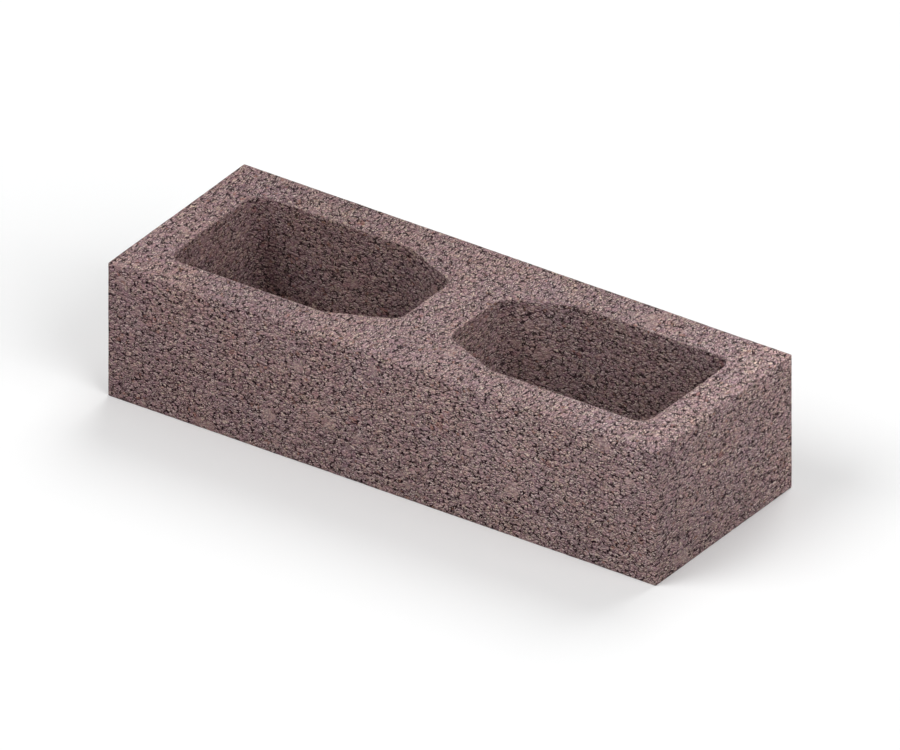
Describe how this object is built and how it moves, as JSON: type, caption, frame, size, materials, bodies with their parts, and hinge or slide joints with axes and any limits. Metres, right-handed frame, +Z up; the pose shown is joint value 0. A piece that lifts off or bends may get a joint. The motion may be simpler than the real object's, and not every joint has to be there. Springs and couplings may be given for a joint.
{
  "type": "hollow concrete block",
  "caption": "Hollow masonry block: a rectangular prism with upright cores right through it and a flared web between them, laid in mortar to build walls.",
  "frame": {"origin": "centre of the lower bed face", "axes": "+X along the block's length, +Y across its width, from the front face to the back face, +Z up from the lower bed face to the upper one"},
  "size_m": [0.39, 0.14, 0.09],
  "materials": {
    "pigmented_concrete": "matte"
  },
  "bodies": {
    "root": {"hollow_block": "pigmented_concrete"}
  },
  "joints": []
}
